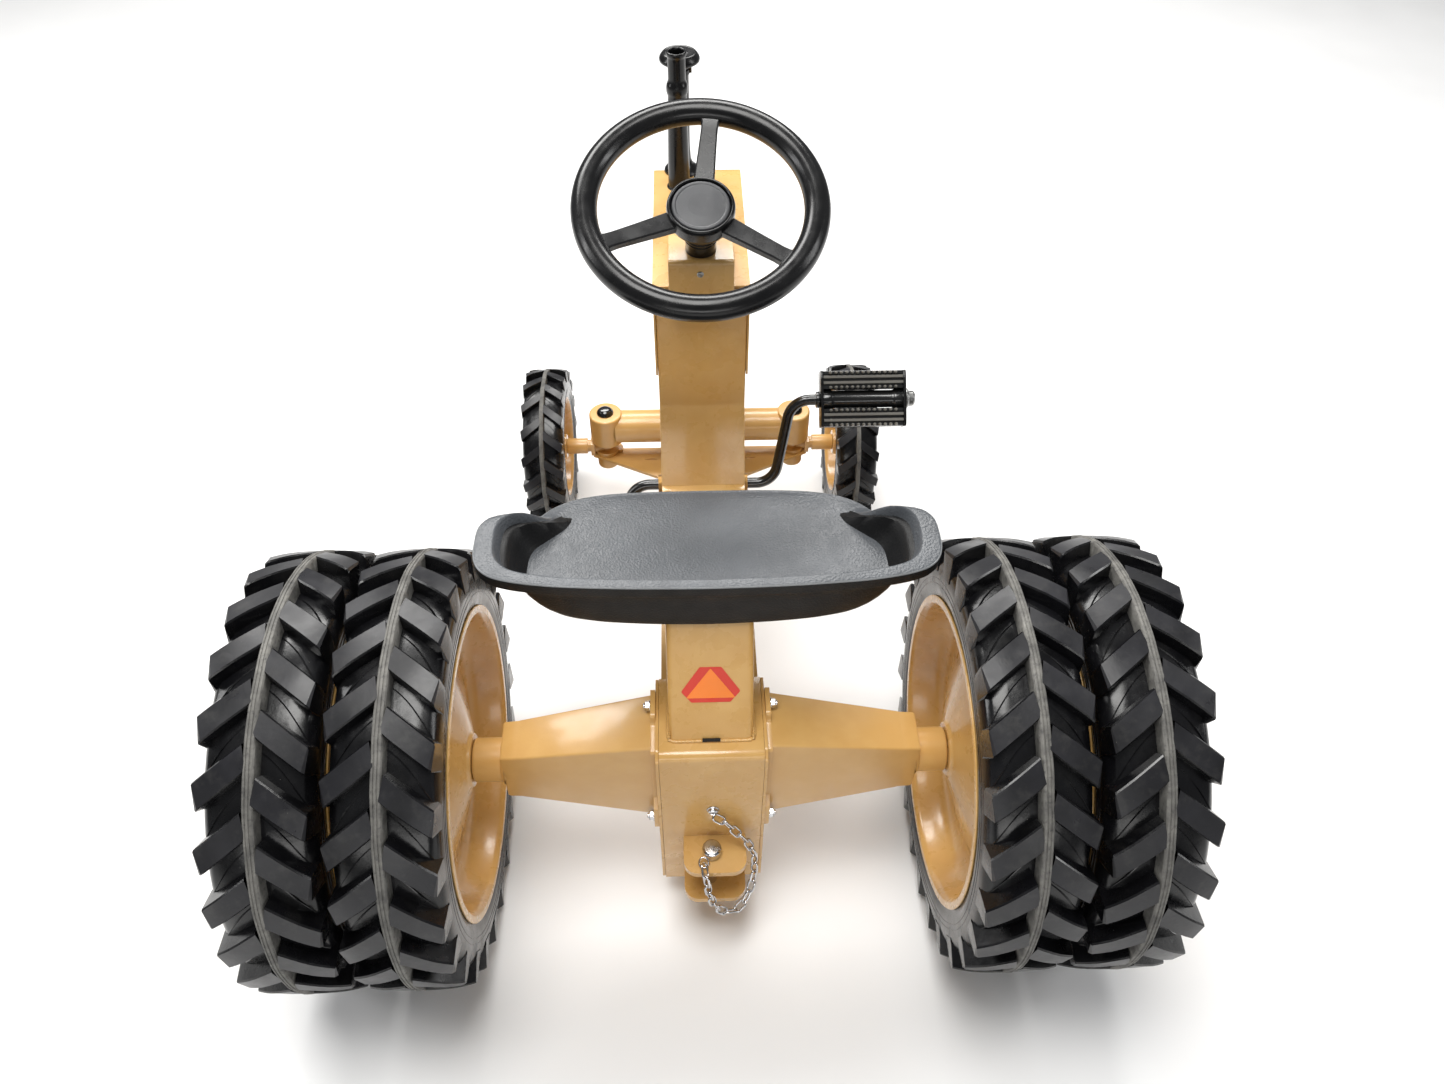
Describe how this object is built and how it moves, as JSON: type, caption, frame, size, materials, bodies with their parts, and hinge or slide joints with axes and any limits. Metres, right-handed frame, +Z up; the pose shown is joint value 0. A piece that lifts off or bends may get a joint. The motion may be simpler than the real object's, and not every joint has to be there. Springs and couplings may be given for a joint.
{
  "type": "ride-on pedal tractor",
  "caption": "Ride-on pedal tractor with dual rear wheels, bucket seat, bent-rod crank with block pedals, linked front steering, exhaust stack and drop-pin drawbar hitch",
  "frame": {"origin": "on the ground, under the middle of the bounding box", "axes": "+Y is forward, the way the tractor drives; +X is the rider's right; +Z is up"},
  "size_m": [0.8072, 0.8572, 0.648],
  "materials": {
    "axle_bushings": "sintered bronze",
    "axle_housing_left": "satin tan gold paint",
    "axle_housing_right": "satin tan gold paint",
    "axle_spacers": "zinc plated steel",
    "chain_screw": "bright zinc or chrome plate",
    "column_bushing": "sintered bronze",
    "crank_bushings": "sintered bronze",
    "crank_nuts": "zinc plated steel",
    "crank_rod": "gloss black paint",
    "crank_sprocket": "zinc plated steel",
    "dash_box": "satin tan gold paint",
    "dash_screw": "bright zinc or chrome plate",
    "drive_chain": "zinc plated steel",
    "exhaust_stack": "satin black plastic",
    "flange_bolts": "bright zinc or chrome plate",
    "front_axle": "satin tan gold paint",
    "front_bolster": "satin tan gold paint",
    "front_nut_left": "zinc plated steel",
    "front_nut_right": "zinc plated steel",
    "front_rim_left": "satin tan gold paint",
    "front_rim_right": "satin tan gold paint",
    "front_tyre_left": "moulded black rubber",
    "front_tyre_right": "moulded black rubber",
    "hitch_chain": "bright zinc or chrome plate",
    "hitch_clevis": "satin tan gold paint",
    "hitch_pin": "bright zinc or chrome plate",
    "hood": "satin tan gold paint",
    "hub_cap": "satin black plastic",
    "kingpin_caps": "satin black plastic",
    "kingpin_foot_left": "satin tan gold paint",
    "kingpin_foot_right": "satin tan gold paint",
    "knuckle_left": "satin tan gold paint",
    "knuckle_right": "satin tan gold paint",
    "main_beam": "satin tan gold paint",
    "pedal_left": "ribbed black rubber",
    "pedal_right": "ribbed black rubber",
    "pedestal": "satin tan gold paint",
    "precleaner": "satin black plastic",
    "rear_box": "satin tan gold paint",
    "rear_nuts": "zinc plated steel",
    "rear_rim_inner_left": "satin tan gold paint",
    "rear_rim_inner_right": "satin tan gold paint",
    "rear_rim_outer_left": "satin tan gold paint",
    "rear_rim_outer_right": "satin tan gold paint",
    "rear_shaft": "zinc plated steel",
    "rear_sprocket": "zinc plated steel",
    "rear_tyre_inner_left": "moulded black rubber",
    "rear_tyre_inner_right": "moulded black rubber",
    "rear_tyre_outer_left": "moulded black rubber",
    "rear_tyre_outer_right": "moulded black rubber",
    "seat_bolts": "bright zinc or chrome plate",
    "seat_bracket": "black paint",
    "seat_pan": "fine grained moulded plastic",
    "seat_post": "satin tan gold paint",
    "steering_boot": "satin black plastic",
    "steering_shaft": "zinc plated steel",
    "steering_wheel": "satin black plastic",
    "tie_plate": "satin tan gold paint",
    "warning_triangle": "reflective film"
  },
  "bodies": {
    "frame": {"rear_box": "rear_box", "main_beam": "main_beam", "seat_post": "seat_post", "seat_bracket": "seat_bracket", "seat_bolts": "seat_bolts", "seat_pan": "seat_pan", "pedestal": "pedestal", "hood": "hood", "dash_box": "dash_box", "dash_screw": "dash_screw", "exhaust_stack": "exhaust_stack", "precleaner": "precleaner", "axle_housing_left": "axle_housing_left", "axle_housing_right": "axle_housing_right", "flange_bolts": "flange_bolts", "axle_bushings": "axle_bushings", "front_axle": "front_axle", "front_bolster": "front_bolster", "kingpin_caps": "kingpin_caps", "hitch_clevis": "hitch_clevis", "hitch_chain": "hitch_chain", "chain_screw": "chain_screw", "warning_triangle": "warning_triangle", "crank_bushings": "crank_bushings", "column_bushing": "column_bushing", "steering_boot": "steering_boot", "drive_chain": "drive_chain"},
    "rear_axle": {"rear_shaft": "rear_shaft", "rear_sprocket": "rear_sprocket", "axle_spacers": "axle_spacers", "rear_nuts": "rear_nuts", "rear_rim_inner_left": "rear_rim_inner_left", "rear_rim_inner_right": "rear_rim_inner_right", "rear_rim_outer_left": "rear_rim_outer_left", "rear_rim_outer_right": "rear_rim_outer_right", "rear_tyre_inner_left": "rear_tyre_inner_left", "rear_tyre_inner_right": "rear_tyre_inner_right", "rear_tyre_outer_left": "rear_tyre_outer_left", "rear_tyre_outer_right": "rear_tyre_outer_right"},
    "crankset": {"crank_rod": "crank_rod", "crank_sprocket": "crank_sprocket", "crank_nuts": "crank_nuts"},
    "pedal_r": {"pedal_right": "pedal_right"},
    "pedal_l": {"pedal_left": "pedal_left"},
    "steering": {"steering_shaft": "steering_shaft", "steering_wheel": "steering_wheel", "hub_cap": "hub_cap"},
    "steer_link": {"tie_plate": "tie_plate"},
    "knuckle_r": {"knuckle_right": "knuckle_right", "kingpin_foot_right": "kingpin_foot_right", "front_nut_right": "front_nut_right"},
    "knuckle_l": {"knuckle_left": "knuckle_left", "kingpin_foot_left": "kingpin_foot_left", "front_nut_left": "front_nut_left"},
    "front_wheel_r": {"front_rim_right": "front_rim_right", "front_tyre_right": "front_tyre_right"},
    "front_wheel_l": {"front_rim_left": "front_rim_left", "front_tyre_left": "front_tyre_left"},
    "hitch_pin_body": {"hitch_pin": "hitch_pin"}
  },
  "joints": [
    {"name": "rear_spin", "type": "hinge", "parent": "frame", "child": "rear_axle", "pos_m": [0, -0.22545, 0.2032], "axis": [1, 0, 0], "continuous": true},
    {"name": "crank_spin", "type": "hinge", "parent": "frame", "child": "crankset", "pos_m": [0, 0.10155, 0.246], "axis": [1, 0, 0], "continuous": true},
    {"name": "pedal_right_spin", "type": "hinge", "parent": "crankset", "child": "pedal_r", "pos_m": [0, 0.13507, 0.33809], "axis": [1, 0, 0], "continuous": true},
    {"name": "pedal_left_spin", "type": "hinge", "parent": "crankset", "child": "pedal_l", "pos_m": [0, 0.06803, 0.15391], "axis": [1, 0, 0], "continuous": true},
    {"name": "steering_turn", "type": "hinge", "parent": "frame", "child": "steering", "pos_m": [0, 0.09955, 0.595], "axis": [0, -0.3907, 0.9205], "range_deg": [-30, 30]},
    {"name": "knuckle_right_turn", "type": "hinge", "parent": "frame", "child": "knuckle_r", "pos_m": [0.126, 0.32425, 0.1044], "axis": [0, 0, 1], "range_deg": [-20, 20]},
    {"name": "knuckle_left_turn", "type": "hinge", "parent": "frame", "child": "knuckle_l", "pos_m": [-0.126, 0.32425, 0.1044], "axis": [0, 0, 1], "range_deg": [-20, 20]},
    {"name": "link_shift", "type": "slide", "parent": "frame", "child": "steer_link", "axis": [1, 0, 0], "range_m": [-0.00482, 0.00482]},
    {"name": "front_wheel_right_spin", "type": "hinge", "parent": "knuckle_r", "child": "front_wheel_r", "pos_m": [0.2018, 0.32425, 0.1044], "axis": [1, 0, 0], "continuous": true},
    {"name": "front_wheel_left_spin", "type": "hinge", "parent": "knuckle_l", "child": "front_wheel_l", "pos_m": [-0.2018, 0.32425, 0.1044], "axis": [1, 0, 0], "continuous": true},
    {"name": "hitch_pin_lift", "type": "slide", "parent": "frame", "child": "hitch_pin_body", "axis": [0, 0, 1], "range_m": [0, 0.085]}
  ],
  "couplings": [
    {"joint": "crank_spin", "follows": "rear_spin", "ratio": 1},
    {"joint": "knuckle_right_turn", "follows": "steering_turn", "ratio": 0.6666},
    {"joint": "knuckle_left_turn", "follows": "steering_turn", "ratio": 0.6666},
    {"joint": "link_shift", "follows": "steering_turn", "m_per_rad": -0.00917}
  ]
}
